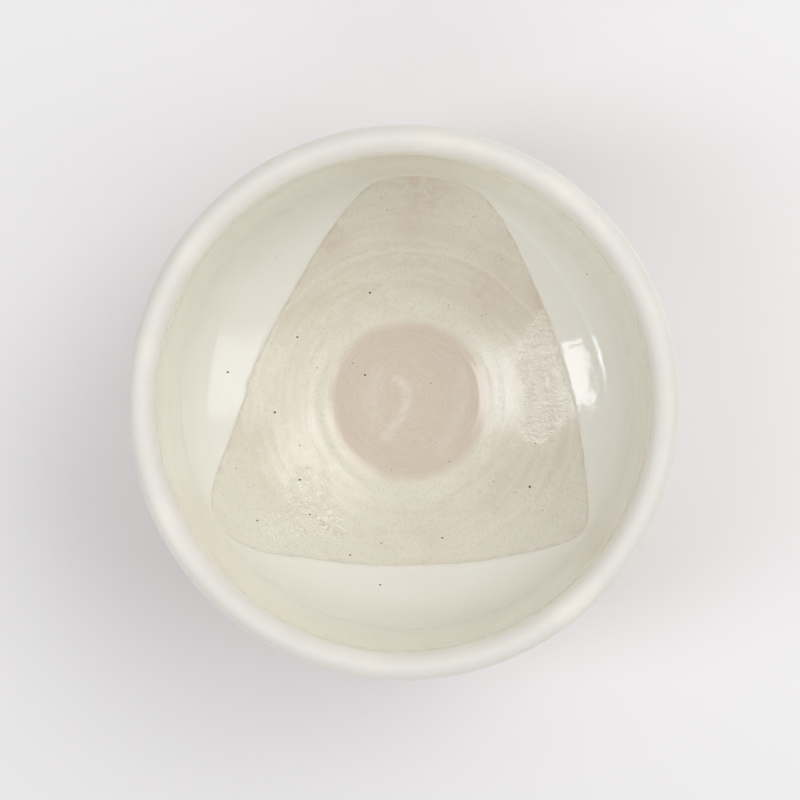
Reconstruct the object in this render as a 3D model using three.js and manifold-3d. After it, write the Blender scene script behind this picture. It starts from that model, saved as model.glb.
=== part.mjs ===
// Hand-thrown matcha cup: a trimmed stoneware body, a thin liner glaze poured inside,
// and a thick white glaze from three tilted dips that leave a three-sided window on the floor.
// Millimetres, +Z up, standing on z = 0 with the wheel's axis on Z.
import * as THREE from 'three';
import { mergeVertices } from 'three/addons/utils/BufferGeometryUtils.js';
import Module from 'manifold-3d';

// Finished cup
const rimDiameter = 111; // over the white glaze, at the lip
const cupHeight = 70; // from the table to the glazed crest of the lip
const wallLean = 1.5; // degrees, outward towards the lip
const wallSwell = 7; // degrees that the wall turns in, from the heel to the lip
const ovalSpread = 0.6; // how much longer the cup is front to back than left to right

// Clay wall and floor
const wallThickness = 4.2; // upper wall and lip
const floorThickness = 5.8; // under the tea well
const heelRadius = 12; // inside, where the wall turns into the floor
const bellyRadius = 21; // outside, under the wall
const undersideSlope = 20; // degrees, from the foot out to the belly
const dishStartSlope = 8; // degrees, beside the tea well
const dishEndSlope = 35; // degrees, at the heel

// Tea well: the shallow round pool in the middle of the floor
const wellDiameter = 38;
const wellDepth = 0.6;
const wellShoulder = 4; // width of the soft step round it

// Foot ring
const footDiameter = 54;
const footWidth = 5.2;
const footHeight = 7.5; // where the underside starts
const footRecess = 5.6; // depth of the hollow inside the ring
const footBevel = 0.8;

// Glaze coats
const linerThickness = 0.3;
const whiteThickness = 0.5;
const coatGap = 0.1; // between one layer and the next

// Each dip: the liquid's surface is a plane that leans over the cup.
// heading: degrees round the cup, from +X towards +Y; lean: degrees from upright;
// reach: from the axis to the glaze line, measured at table height;
// corner: how round the glaze runs where it meets the next dip round the cup.
const rightDip = { heading: 17.4, lean: 34.3, reach: 47.3, corner: 13.8 };
const leftDip = { heading: 154.2, lean: 32.2, reach: 44.3, corner: 4 };
const frontDip = { heading: 270.7, lean: 37.6, reach: 49.7, corner: 2.5 };
const dips = [rightDip, leftDip, frontDip];

// Fineness of the facets
const turns = 48; // steps round the cup
const facetError = 0.12; // how far a facet may lie off a round stretch of the outline
const shoulderSteps = 3; // steps down into the tea well
const cornerSteps = 6; // steps round a corner of the window

const radians = THREE.MathUtils.degToRad;
const wallStartSlope = radians(90 - wallLean - wallSwell / 2);
const wallEndSlope = radians(90 - wallLean + wallSwell / 2);

// The coats stand on the clay, so the clay stops short of the finished sizes
const outsideCoat = coatGap + whiteThickness;
const insideCoat = coatGap + linerThickness + coatGap + whiteThickness;
const lipRadius = wallThickness / 2;
const lipRadial = rimDiameter / 2 - outsideCoat - lipRadius;
const lipLevel = cupHeight - insideCoat - lipRadius;
const lipCentre = new THREE.Vector2(lipRadial, lipLevel);
const floorLevel = footRecess + floorThickness + wellDepth; // where the dish starts

// Outlines are drawn as distance from the axis and level.
// This is the way out of a bowl's curve where it rises at a slope: straight down on a flat floor
function outOf(slope) {
  return new THREE.Vector2(Math.sin(slope), -Math.cos(slope));
}

// Centre of a bowl's curve through a point, given its slope there
function bowlCentre(point, radius, slope) {
  return point.clone().addScaledVector(outOf(slope), -radius);
}

// Points along a round stretch, in few enough steps
function arcPoints(centre, radius, fromAngle, toAngle) {
  const stepAngle = 2 * Math.acos(1 - facetError / radius);
  const steps = Math.ceil(Math.abs(toAngle - fromAngle) / stepAngle);
  const clockwise = toAngle < fromAngle;
  return new THREE.ArcCurve(centre.x, centre.y, radius, fromAngle, toAngle, clockwise).getPoints(steps);
}

function bowlPoints(centre, radius, fromSlope, toSlope) {
  return arcPoints(centre, radius, fromSlope - Math.PI / 2, toSlope - Math.PI / 2);
}

// Where a side of the wall starts, and its slow curve from there to the lip.
// The stretch below sets the level of that start: base + rise * distance from the axis.
function wallSide(lipPoint, base, rise) {
  const inward = Math.sin(wallEndSlope) - Math.sin(wallStartSlope);
  const upward = Math.cos(wallStartSlope) - Math.cos(wallEndSlope);
  const radial = (lipPoint.x * upward - (lipPoint.y - base) * inward) / (upward - rise * inward);
  const start = new THREE.Vector2(radial, base + rise * radial);
  const radius = (lipPoint.y - start.y) / upward;
  return { start, radius, centre: bowlCentre(lipPoint, radius, wallEndSlope) };
}

// Inside of the clay, from the axis up to the lip: tea well, dish, heel, wall
function insidePoints() {
  const dishStart = radians(dishStartSlope);
  const dishEnd = radians(dishEndSlope);
  const wellEdge = new THREE.Vector2(wellDiameter / 2, floorLevel);
  const wellBottom = new THREE.Vector2(wellEdge.x - wellShoulder, floorLevel - wellDepth);
  const middle = wellEdge.x - wellShoulder / 2;
  const shoulder = new THREE.CubicBezierCurve(
    wellBottom,
    new THREE.Vector2(middle, wellBottom.y),
    new THREE.Vector2(middle, wellEdge.y - Math.tan(dishStart) * (wellEdge.x - middle)),
    wellEdge,
  );
  const lipPoint = lipCentre.clone().addScaledVector(outOf(wallEndSlope), -lipRadius);
  const heelWidth = heelRadius * (Math.sin(wallStartSlope) - Math.sin(dishEnd));
  const heelRise = heelRadius * (Math.cos(dishEnd) - Math.cos(wallStartSlope));
  const dishWidth = Math.sin(dishEnd) - Math.sin(dishStart); // for a radius of one
  const dishRise = Math.cos(dishStart) - Math.cos(dishEnd);
  const rise = dishRise / dishWidth;
  const wall = wallSide(lipPoint, floorLevel + heelRise - rise * (heelWidth + wellEdge.x), rise);
  const dishRadius = (wall.start.x - heelWidth - wellEdge.x) / dishWidth;
  const dishCentre = bowlCentre(wellEdge, dishRadius, dishStart);
  const heelCentre = bowlCentre(wall.start, heelRadius, wallStartSlope);
  return [
    new THREE.Vector2(0, wellBottom.y),
    ...shoulder.getPoints(shoulderSteps),
    ...bowlPoints(dishCentre, dishRadius, dishStart, dishEnd).slice(1),
    ...bowlPoints(heelCentre, heelRadius, dishEnd, wallStartSlope).slice(1),
    ...bowlPoints(wall.centre, wall.radius, wallStartSlope, wallEndSlope).slice(1),
  ];
}

// Outside of the clay, from the lip down to the foot: wall, belly, underside
function outsidePoints() {
  const slope = radians(undersideSlope);
  const footEdge = new THREE.Vector2(footDiameter / 2, footHeight);
  const lipPoint = lipCentre.clone().addScaledVector(outOf(wallEndSlope), lipRadius);
  const bellyWidth = bellyRadius * (Math.sin(wallStartSlope) - Math.sin(slope));
  const bellyRise = bellyRadius * (Math.cos(slope) - Math.cos(wallStartSlope));
  const rise = Math.tan(slope);
  const wall = wallSide(lipPoint, footEdge.y + bellyRise - rise * (bellyWidth + footEdge.x), rise);
  const bellyCentre = bowlCentre(wall.start, bellyRadius, wallStartSlope);
  return [
    ...bowlPoints(wall.centre, wall.radius, wallEndSlope, wallStartSlope),
    ...bowlPoints(bellyCentre, bellyRadius, wallStartSlope, slope).slice(1),
    footEdge,
  ];
}

// The clay's skin as one line of points, from the middle of the floor over the lip to the foot
const inside = insidePoints();
const lipIn = arcPoints(lipCentre, lipRadius, wallEndSlope + Math.PI / 2, wallEndSlope).slice(1);
const lipOut = arcPoints(lipCentre, lipRadius, wallEndSlope, wallEndSlope - Math.PI / 2).slice(1, -1);
const outside = outsidePoints();
const skin = [...inside, ...lipIn, ...lipOut, ...outside];
const crest = inside.length + lipIn.length - 1;
const outsideStart = inside.length + lipIn.length + lipOut.length;

// How far a layer stands off the skin at each point, given its distance inside and outside:
// it is constant on both sides and changes from the crest of the lip to the outside wall
function standOff(index, insideDistance, outsideDistance) {
  const share = THREE.MathUtils.clamp((index - crest) / (outsideStart - crest), 0, 1);
  return THREE.MathUtils.lerp(insideDistance, outsideDistance, share);
}

// The skin moved off the clay, square to it
function skinOffset(insideDistance, outsideDistance) {
  return skin.map((point, index) => {
    const before = skin[Math.max(index - 1, 0)];
    const after = skin[Math.min(index + 1, skin.length - 1)];
    const first = point.clone().sub(before).normalize();
    const second = after.clone().sub(point).normalize();
    const along = first.add(second).normalize();
    const away = index === 0 ? new THREE.Vector2(0, 1) : new THREE.Vector2(-along.y, along.x);
    return away.multiplyScalar(standOff(index, insideDistance, outsideDistance)).add(point);
  });
}

// A hand-thrown cup is never quite round: it is drawn out a little front to back
function drawOval(geometry) {
  const stretch = ovalSpread / rimDiameter / 2;
  return geometry.scale(1 - stretch, 1 + stretch, 1);
}

// Revolves an outline of distance and level round the Z axis
function thrown(outline) {
  const geometry = new THREE.LatheGeometry(outline, turns);
  geometry.deleteAttribute('normal');
  geometry.deleteAttribute('uv');
  geometry.rotateX(Math.PI / 2);
  return drawOval(mergeVertices(geometry));
}

const wasm = await Module();
wasm.setup();

function solidFrom(geometry) {
  const vertProperties = new Float32Array(geometry.attributes.position.array);
  const triVerts = new Uint32Array(geometry.index.array);
  return new wasm.Manifold(new wasm.Mesh({ numProp: 3, vertProperties, triVerts }));
}

function geometryFrom(solid) {
  const mesh = solid.getMesh();
  const geometry = new THREE.BufferGeometry();
  geometry.setAttribute('position', new THREE.BufferAttribute(mesh.vertProperties, 3));
  geometry.setIndex(new THREE.BufferAttribute(mesh.triVerts, 1));
  return geometry;
}

// Clay: out from the axis under the hollow of the foot, round the foot ring, then back along the skin
function clayGeometry() {
  const outer = footDiameter / 2;
  const inner = outer - footWidth;
  const foot = [
    new THREE.Vector2(0, footRecess),
    new THREE.Vector2(inner - footBevel - footBevel, footRecess),
    new THREE.Vector2(inner - footBevel, footRecess - footBevel),
    new THREE.Vector2(inner, footBevel),
    new THREE.Vector2(inner + footBevel, 0),
    new THREE.Vector2(outer - footBevel, 0),
    new THREE.Vector2(outer, footBevel),
  ];
  return thrown([...foot, ...skin.toReversed()]);
}

// Liner glaze: the inside of the cup up to the crest of the lip
function linerGeometry() {
  const under = skinOffset(coatGap, coatGap).slice(0, crest + 1);
  const over = skinOffset(coatGap + linerThickness, coatGap + linerThickness).slice(0, crest + 1);
  return thrown([...under, ...over.reverse()]);
}

// Outline of what stays dry at a level: the three glaze lines with rounded corners
function dryOutline(level) {
  const lines = dips.map((dip) => ({
    x: Math.cos(radians(dip.heading)),
    y: Math.sin(radians(dip.heading)),
    distance: dip.reach - level * Math.tan(radians(dip.lean)),
    corner: dip.corner,
  }));
  return lines.flatMap((line, index) => {
    const next = lines[(index + 1) % lines.length];
    // Centre of the corner: as far inside both glaze lines as the corner is round
    const cross = line.x * next.y - line.y * next.x;
    const first = line.distance - line.corner;
    const second = next.distance - line.corner;
    const centreX = (first * next.y - second * line.y) / cross;
    const centreY = (second * line.x - first * next.x) / cross;
    const start = Math.atan2(line.y, line.x);
    const sweep = Math.acos(line.x * next.x + line.y * next.y);
    return Array.from({ length: cornerSteps + 1 }, (_, step) => {
      const angle = start + (sweep * step) / cornerSteps;
      const x = centreX + line.corner * Math.cos(angle);
      const y = centreY + line.corner * Math.sin(angle);
      return new THREE.Vector3(x, y, level);
    });
  });
}

// Level at which the glaze lines have closed in to the widest corner's rounding.
// The distance from the middle of the three lines to each of them is a weighted mean of their
// distances from the axis, each weighted by the turn between the other two.
function dryTop() {
  const widest = Math.max(...dips.map((dip) => dip.corner));
  let room = 0;
  let closing = 0;
  dips.forEach((dip, index) => {
    const next = dips[(index + 1) % dips.length];
    const last = dips[(index + 2) % dips.length];
    const weight = Math.sin(radians(last.heading - next.heading));
    room += weight * (dip.reach - widest);
    closing += weight * Math.tan(radians(dip.lean));
  });
  return room / closing;
}

// The wedge that no dip reached, from the table up to where the glaze lines close
function dryWedge() {
  const lower = dryOutline(0);
  const upper = dryOutline(dryTop());
  const count = lower.length;
  const index = [];
  for (let step = 0; step < count; step += 1) {
    const next = (step + 1) % count;
    index.push(step, next, count + next, step, count + next, count + step);
  }
  for (let step = 1; step < count - 1; step += 1) {
    index.push(0, step + 1, step);
    index.push(count, count + step, count + step + 1);
  }
  const geometry = new THREE.BufferGeometry().setFromPoints([...lower, ...upper]);
  geometry.setIndex(index);
  return geometry;
}

// White glaze: a coat over the whole skin, less what stayed dry in all three dips
function whiteGeometry() {
  const seat = coatGap + linerThickness + coatGap;
  const under = skinOffset(seat, coatGap);
  const over = skinOffset(seat + whiteThickness, coatGap + whiteThickness);
  const coat = solidFrom(thrown([...under, ...over.reverse()]));
  return geometryFrom(coat.subtract(solidFrom(dryWedge())));
}

function piece(name, geometry, finish) {
  geometry.computeVertexNormals();
  const mesh = new THREE.Mesh(geometry, new THREE.MeshStandardMaterial(finish));
  mesh.name = name;
  return mesh;
}

const cup = new THREE.Group();
cup.name = 'matcha_cup';
cup.add(piece('clay_body', clayGeometry(), { color: 0xcdb9a0, roughness: 0.9, metalness: 0 }));
cup.add(piece('liner_glaze', linerGeometry(), { color: 0xd3c8b4, roughness: 0.4, metalness: 0 }));
cup.add(piece('white_glaze', whiteGeometry(), { color: 0xebe6da, roughness: 0.15, metalness: 0 }));

export default cup;
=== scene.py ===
from math import cos, pi, radians, sin, tan

import bpy
import numpy as np
from mathutils import Matrix, Vector, noise


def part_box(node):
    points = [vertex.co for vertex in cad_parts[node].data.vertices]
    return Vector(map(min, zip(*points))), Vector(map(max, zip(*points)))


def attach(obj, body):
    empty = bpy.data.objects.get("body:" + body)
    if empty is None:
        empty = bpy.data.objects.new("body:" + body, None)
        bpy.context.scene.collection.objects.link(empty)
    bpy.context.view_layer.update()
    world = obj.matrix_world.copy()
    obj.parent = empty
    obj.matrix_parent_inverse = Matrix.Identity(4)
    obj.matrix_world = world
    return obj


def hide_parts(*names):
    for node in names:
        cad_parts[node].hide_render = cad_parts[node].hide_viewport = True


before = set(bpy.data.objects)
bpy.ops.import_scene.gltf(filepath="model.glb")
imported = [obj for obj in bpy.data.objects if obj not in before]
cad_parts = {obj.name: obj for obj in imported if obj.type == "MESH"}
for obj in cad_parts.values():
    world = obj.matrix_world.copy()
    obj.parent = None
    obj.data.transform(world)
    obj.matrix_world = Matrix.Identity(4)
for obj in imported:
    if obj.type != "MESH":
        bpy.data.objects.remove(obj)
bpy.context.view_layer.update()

mm = 0.001
turn = 2 * pi
print("frame loaded:", sorted(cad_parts))

# the thrown clay, as the solids have it
clay = dict(
    rimRadius=55.5 * mm, cupHeight=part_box("white_glaze")[1].z,
    wallThickness=4.2 * mm, wallLean=radians(1.5), wallSwell=radians(7),
    dishStart=radians(8), dishEnd=radians(35), heelRadius=12 * mm,
    wellRadius=19 * mm, wellDepth=0.6 * mm, wellShoulder=4 * mm, floorThickness=5.8 * mm,
    bellyRadius=21 * mm, undersideSlope=radians(20),
    footRadius=27 * mm, footWidth=5.2 * mm, footHeight=7.5 * mm, footRecess=5.6 * mm, footBevel=0.8 * mm,
    ovalSpread=0.6 * mm)
coats = dict(gap=0.1 * mm, liner=0.3 * mm, white=0.5 * mm)
fineness = dict(stretch=240, shoulder=120, stroke=16, glazeLine=700)  # steps along each kind of curve


# outlines are (distance from the axis, level); slope is how steeply the curve rises outwards
def outOf(slope):
    return np.array([sin(slope), -cos(slope)])


def bowlArc(centre, radius, fromSlope, toSlope):
    slopes = np.linspace(fromSlope, toSlope, fineness["stretch"])
    return centre + radius * np.column_stack((np.sin(slopes), -np.cos(slopes)))


def line(start, end):
    return np.linspace(start, end, fineness["stretch"])


def bezier(handles, steps):
    share = np.linspace(0, 1, steps)[:, None]
    weights = ((1 - share) ** 3, 3 * share * (1 - share) ** 2, 3 * share ** 2 * (1 - share), share ** 3)
    return sum(weight * handle for weight, handle in zip(weights, handles))


def wallSide(lipPoint, base, rise):  # the stretch below the wall ends at level base + rise * distance
    inward = sin(wallEnd) - sin(wallStart)
    upward = cos(wallStart) - cos(wallEnd)
    radial = (lipPoint[0] * upward - (lipPoint[1] - base) * inward) / (upward - rise * inward)
    start = np.array([radial, base + rise * radial])
    radius = (lipPoint[1] - start[1]) / upward
    return start, radius, lipPoint - radius * outOf(wallEnd)


wallStart = pi / 2 - clay["wallLean"] - clay["wallSwell"] / 2
wallEnd = pi / 2 - clay["wallLean"] + clay["wallSwell"] / 2
outsideCoat = coats["gap"] + coats["white"]
linerTop = coats["gap"] + coats["liner"]
insideCoat = linerTop + coats["gap"] + coats["white"]
lipRadius = clay["wallThickness"] / 2
lipCentre = np.array([
    clay["rimRadius"] - outsideCoat - lipRadius, clay["cupHeight"] - insideCoat - lipRadius])
floorLevel = clay["footRecess"] + clay["floorThickness"] + clay["wellDepth"]


def insideStretches():
    start, end, heel = clay["dishStart"], clay["dishEnd"], clay["heelRadius"]
    wellEdge = np.array([clay["wellRadius"], floorLevel])
    wellBottom = wellEdge - [clay["wellShoulder"], clay["wellDepth"]]
    middle = clay["wellRadius"] - clay["wellShoulder"] / 2
    handles = np.array([wellBottom, [middle, wellBottom[1]],
                        [middle, floorLevel - tan(start) * clay["wellShoulder"] / 2], wellEdge])
    lipPoint = lipCentre - lipRadius * outOf(wallEnd)
    heelWidth = heel * (sin(wallStart) - sin(end))
    heelRise = heel * (cos(end) - cos(wallStart))
    dishWidth = sin(end) - sin(start)
    rise = (cos(start) - cos(end)) / dishWidth
    base = floorLevel + heelRise - rise * (heelWidth + clay["wellRadius"])
    wallFoot, wallRadius, wallCentre = wallSide(lipPoint, base, rise)
    dishRadius = (wallFoot[0] - heelWidth - clay["wellRadius"]) / dishWidth
    return dict(
        well=line([0, wellBottom[1]], wellBottom), shoulder=bezier(handles, fineness["shoulder"]),
        dish=bowlArc(wellEdge - dishRadius * outOf(start), dishRadius, start, end),
        heel=bowlArc(wallFoot - heel * outOf(wallStart), heel, end, wallStart),
        insideWall=bowlArc(wallCentre, wallRadius, wallStart, wallEnd))


def outsideStretches():
    slope, belly = clay["undersideSlope"], clay["bellyRadius"]
    footEdge = np.array([clay["footRadius"], clay["footHeight"]])
    lipPoint = lipCentre + lipRadius * outOf(wallEnd)
    bellyWidth = belly * (sin(wallStart) - sin(slope))
    bellyRise = belly * (cos(slope) - cos(wallStart))
    base = clay["footHeight"] + bellyRise - tan(slope) * (bellyWidth + clay["footRadius"])
    wallFoot, wallRadius, wallCentre = wallSide(lipPoint, base, tan(slope))
    bellyCurve = bowlArc(wallFoot - belly * outOf(wallStart), belly, wallStart, slope)
    return dict(
        outsideWall=bowlArc(wallCentre, wallRadius, wallEnd, wallStart),
        belly=bellyCurve, underside=line(bellyCurve[-1], footEdge))


# the clay's skin, from the middle of the floor over the lip down to the foot, walked by its length
lipTurn = np.linspace(wallEnd + pi / 2, wallEnd - pi / 2, fineness["stretch"])
lip = lipCentre + lipRadius * np.column_stack((np.cos(lipTurn), np.sin(lipTurn)))
stretches = dict(insideStretches(), lip=lip, **outsideStretches())
skinPoints, marks, walked = [], {}, 0.0  # marks: where each stretch ends
for name, points in stretches.items():
    walked += np.hypot(*np.diff(points, axis=0).T).sum()
    marks[name] = walked
    skinPoints.append(points if not skinPoints else points[1:])
skinPoints = np.concatenate(skinPoints)
skinAlong = np.concatenate(([0], np.cumsum(np.hypot(*np.diff(skinPoints, axis=0).T))))
skinWay = np.gradient(skinPoints, skinAlong, axis=0)
skinAway = np.column_stack((-skinWay[:, 1], skinWay[:, 0]))
skinAway /= np.hypot(*skinAway.T)[:, None]
skinAway[0] = (0, 1)
crest = (marks["insideWall"] + marks["lip"]) / 2
crestIndex = int(np.argmax(skinPoints[:, 1]))
print("skin drawn:", round(walked / mm, 1), "mm from the floor's middle to the foot")


def awayAt(along):  # the way off the clay
    return np.column_stack([np.interp(along, skinAlong, skinAway[:, axis]) for axis in (0, 1)])


def onSkin(along, off=0.0):  # point of the skin at a length along it, moved off the clay
    point = [np.interp(along, skinAlong, skinPoints[:, axis]) for axis in (0, 1)]
    away = awayAt(along)
    return point[0] + away[:, 0] * off, point[1] + away[:, 1] * off


def smooth(low, high, value):
    share = np.clip((value - low) / (high - low), 0, 1)
    return share * share * (3 - 2 * share)


# three tilted dips in the white glaze; what none of them reached stays bare
dips = [  # heading round the cup, lean of the liquid, reach at table height, roundness towards the next dip;
    # runs: how far the line strays out, and between which places along it
    dict(heading=radians(17.4), lean=radians(34.3), reach=47.3 * mm, corner=13.8 * mm, runs=[]),
    dict(heading=radians(154.2), lean=radians(32.2), reach=44.3 * mm, corner=4 * mm,
         runs=[(0.33 * mm, 0, 9 * mm), (-0.935 * mm, 11.5 * mm, 14.5 * mm),
               (0.825 * mm, 18 * mm, 36 * mm), (1.2 * mm, 23 * mm, 38 * mm)]),
    dict(heading=radians(270.7), lean=radians(37.6), reach=49.7 * mm, corner=2.5 * mm,
         runs=[(0.9 * mm, -22 * mm, -37 * mm)])]
glazeLine = dict(wander=0.12 * mm, longWave=23 * mm, longStart=2.1, shortWave=6.1 * mm, shortStart=1.7,
                 shortShare=0.45)


def bareDepth(x, y, z):  # how far a point lies inside the bare part, negative where the white glaze is
    depths = []
    for index, dip in enumerate(dips):
        ahead = x * np.cos(dip["heading"]) + y * np.sin(dip["heading"])
        side = y * np.cos(dip["heading"]) - x * np.sin(dip["heading"])
        longWave = np.sin(turn * side / glazeLine["longWave"] + glazeLine["longStart"] * index)
        shortWave = np.sin(turn * side / glazeLine["shortWave"] + glazeLine["shortStart"] * index)
        wander = glazeLine["wander"] * (longWave + glazeLine["shortShare"] * shortWave)
        for distance, start, end in dip["runs"]:
            wander = wander + distance * smooth(start, end, side)
        depths.append(dip["reach"] - z * tan(dip["lean"]) - ahead + wander)
    bare = np.minimum.reduce(depths)
    for index, dip in enumerate(dips):
        other = (index + 1) % len(dips)
        facing = cos(dips[other]["heading"] - dip["heading"])
        first, second = dip["corner"] - depths[index], dip["corner"] - depths[other]
        partFirst = (first - facing * second) / (1 - facing ** 2)
        partSecond = (second - facing * first) / (1 - facing ** 2)
        reachOut = np.sqrt(np.maximum(partFirst * first + partSecond * second, 0))
        inCorner = (partFirst > 0) & (partSecond > 0)
        bare = np.where(inCorner, np.minimum(bare, dip["corner"] - reachOut), bare)
    return bare


def oval(points):  # drawn out a little front to back, as the solids are
    stretch = clay["ovalSpread"] / (4 * clay["rimRadius"])
    return points * [1 - stretch, 1 + stretch, 1]


# small helpers for pieces
def addObject(name, data):
    made = bpy.data.objects.new(name, data)
    bpy.context.scene.collection.objects.link(made)
    return made


def meshPiece(name, points, faces):
    mesh = bpy.data.meshes.new(name)
    mesh.from_pydata(points, [], faces)
    mesh.update()
    return addObject(name, mesh)


def pointValues(piece, **values):  # one attribute for each name, of numbers or of vectors
    for name, value in values.items():
        value = np.asarray(value, float)
        kind, field = ("FLOAT_VECTOR", "vector") if value.ndim == 2 else ("FLOAT", "value")
        layer = piece.data.attributes.new(name, kind, "POINT")
        layer.data.foreach_set(field, value.ravel())


def pointsOf(piece):
    points = np.zeros(len(piece.data.vertices) * 3)
    piece.data.vertices.foreach_get("co", points)
    return points.reshape(-1, 3)


# small helpers for node trees
def put(tree, kind, inputs=None, **settings):
    node = tree.nodes.new(kind)
    for name, value in settings.items():
        setattr(node, name, value)
    for name, value in (inputs or {}).items():
        socket = node.inputs[name]
        if isinstance(value, bpy.types.NodeSocket):
            tree.links.new(value, socket)
        else:
            socket.default_value = value
    return node


def calc(tree, operation, first, second=0.0, third=0.0):
    return put(tree, "ShaderNodeMath", {0: first, 1: second, 2: third}, operation=operation).outputs[0]


def times(tree, product, *factors):
    for factor in factors:
        product = calc(tree, "MULTIPLY", product, factor)
    return product


def vector(tree, operation, first, second=(0, 0, 0)):
    return put(tree, "ShaderNodeVectorMath", {0: first, 1: second}, operation=operation).outputs[0]


def lengthOf(tree, place):
    return put(tree, "ShaderNodeVectorMath", {0: place}, operation="LENGTH").outputs["Value"]


def partsOf(tree, place):
    return put(tree, "ShaderNodeSeparateXYZ", {0: place}).outputs


def combined(tree, x=0.0, y=0.0, z=0.0):
    return put(tree, "ShaderNodeCombineXYZ", {0: x, 1: y, 2: z}).outputs[0]


def noiseOf(tree, place, scale, detail=3.0, roughness=0.5):
    inputs = {"Vector": place, "Scale": scale, "Detail": detail, "Roughness": roughness}
    return put(tree, "ShaderNodeTexNoise", inputs).outputs["Fac"]


def cellsOf(tree, place, scale):  # scattered grains: how far the nearest is, and a number of its own
    cells = put(tree, "ShaderNodeTexVoronoi", {"Vector": place, "Scale": scale}).outputs
    return cells["Distance"], put(tree, "ShaderNodeSeparateColor", {0: cells["Color"]}).outputs[0]


def ramp(tree, value, low, high, start=0.0, end=1.0):
    inputs = {"Value": value, "From Min": low, "From Max": high, "To Min": start, "To Max": end}
    return put(tree, "ShaderNodeMapRange", inputs, interpolation_type="SMOOTHSTEP").outputs["Result"]


def awayFrom(tree, value, middle):
    return calc(tree, "ABSOLUTE", calc(tree, "SUBTRACT", value, middle))


def blendColour(tree, share, first, second):
    node = put(tree, "ShaderNodeMix", {"Factor": share}, data_type="RGBA")
    for socket, colour in ((node.inputs[6], first), (node.inputs[7], second)):
        if isinstance(colour, bpy.types.NodeSocket):
            tree.links.new(colour, socket)
        else:
            socket.default_value = (*colour, 1)
    return node.outputs[2]


def attributeOf(tree, name):
    return put(tree, "ShaderNodeAttribute", attribute_name=name).outputs["Fac"]


# a place that changes fast across the throwing rings and slowly round them
def turningPlace(tree, place, acrossPerMetre, roundScale):
    flat = vector(tree, "MULTIPLY", place, (1, 1, 0))
    across = lengthOf(tree, flat)
    walkedOut = times(tree, calc(tree, "ADD", across, partsOf(tree, place)["Z"]), acrossPerMetre)
    around = vector(tree, "SCALE", vector(tree, "NORMALIZE", flat))
    around.node.inputs["Scale"].default_value = roundScale
    return vector(tree, "ADD", around, combined(tree, z=walkedOut)), across


def bump(tree, surface, *layers):  # each layer: height field, height in metres
    normal = None
    for field, height in layers:
        inputs = {"Height": field, "Distance": height, "Strength": 1.0}
        if normal is not None:
            inputs["Normal"] = normal
        normal = put(tree, "ShaderNodeBump", inputs).outputs["Normal"]
    tree.links.new(normal, surface.inputs["Normal"])


# a finish's shares by name, and its colours laid over each other
def layering(tree, shares, look):
    def share(value, name):
        return ramp(tree, value, *shares[name])

    def cover(colour, amount, name):
        return blendColour(tree, amount, colour, look[name])

    return share, cover


# finishes
def finish(name, roughness=0.5, specular=0.5):
    material = bpy.data.materials.new(name)
    material.use_nodes = True
    tree = material.node_tree
    surface = tree.nodes["Principled BSDF"]
    surface.inputs["Roughness"].default_value = roughness
    surface.inputs["Specular IOR Level"].default_value = specular
    place = put(tree, "ShaderNodeTexCoord").outputs["Object"]
    return material, tree, surface, place


linerLook = dict(beige=(0.755, 0.72, 0.605), dark=(0.705, 0.66, 0.54), pale=(0.82, 0.80, 0.71),
                 pink=(0.65, 0.545, 0.46), toast=(0.67, 0.555, 0.46), pinhole=(0.36, 0.25, 0.17),
                 pit=(0.62, 0.56, 0.45), edge=(0.58, 0.48, 0.385), paintedGlint=(0.90, 0.885, 0.81))
linerGrain = dict(  # scales per metre with the noise's detail and roughness, heights and places
    broadTurn=(420, 2.2), broadRings=(1.0, 5), fineTurn=(2300, 4.0), fineRings=(1.0, 4, 0.6),
    patches=(85, 5, 0.6), mottle=(420, 4, 0.65), grain=(1700, 2), crystalsAndGlints=(1750, 1), pinholes=620.0,
    ringHeight=0.02 * mm, pitHeight=0.24 * mm, specular=0.8,
    raggedEdge=3.0 * mm, deepLine=35.2 * mm, groove=33.0 * mm)
linerShares = dict(  # from, to, and what the share is at each end
    broadRings=(0.3, 0.7), paleRings=(0.5, 0.8, 0, 0.3), paleMottle=(0.48, 0.7, 0, 0.3),
    pinkPatches=(0.5, 0.7, 0, 0.25), paintedLightUp=(15 * mm, 28 * mm, 0, 0.8), blotch=(0.35, 0.65, 0.15, 0.75),
    paintedLightFront=(-34 * mm, -12 * mm, 0.4, 0), nearLine=(0, 4 * mm, 1, 0), toast=(0.46, 0.64, 0, 0.3),
    toastBehind=(-34 * mm, -8 * mm, 0.2, 1), edgeLine=(0.1 * mm, 1.3 * mm, 0.35, 0), edgeBreaks=(0.4, 0.64),
    deepLine=(0.1 * mm, 0.6 * mm, 0.42, 0), deepBehind=(-12 * mm, 14 * mm, 0.15, 1),
    haloStart=(18.5 * mm, 20.8 * mm), haloEnd=(21.5 * mm, 27 * mm, 0.45, 0),
    wellRings=(0.35, 0.75, 0, 0.4), wellPatches=(0.45, 0.65, 0, 0.3), well=(17.6 * mm, 20.4 * mm, 0.9, 0),
    stroke=(0.35, 0.6, 0.25, 0.45), pits=(0.32, 0.5, 0.35, 0),
    paintedGlints=(0.54, 0.68, 0, 0.8), paintedGlintPatch=(0.15, 0.8), paintedGlintFront=(-14 * mm, -6 * mm, 1, 0.25),
    groove=(0.2 * mm, 1.2 * mm, 0.8, 0), groovePatch=(0.1, 0.6), grooveFront=(-16 * mm, -10 * mm, 1, 0),
    grooveBreaks=(0.4, 0.55, 1, 0.2),
    pinhole=(0.06, 0.15, 0.4, 0), pinholeChosen=(0.72, 0.9), pinholePatch=(0, 0.6, 0.85, 1.6),
    roughness=(0, 1, 0.15, 0.1), sparkle=(0.1, 0.5, 0.03, 0.6), sparkleMottle=(0.35, 0.65, 0.6, 1.4))


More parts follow.
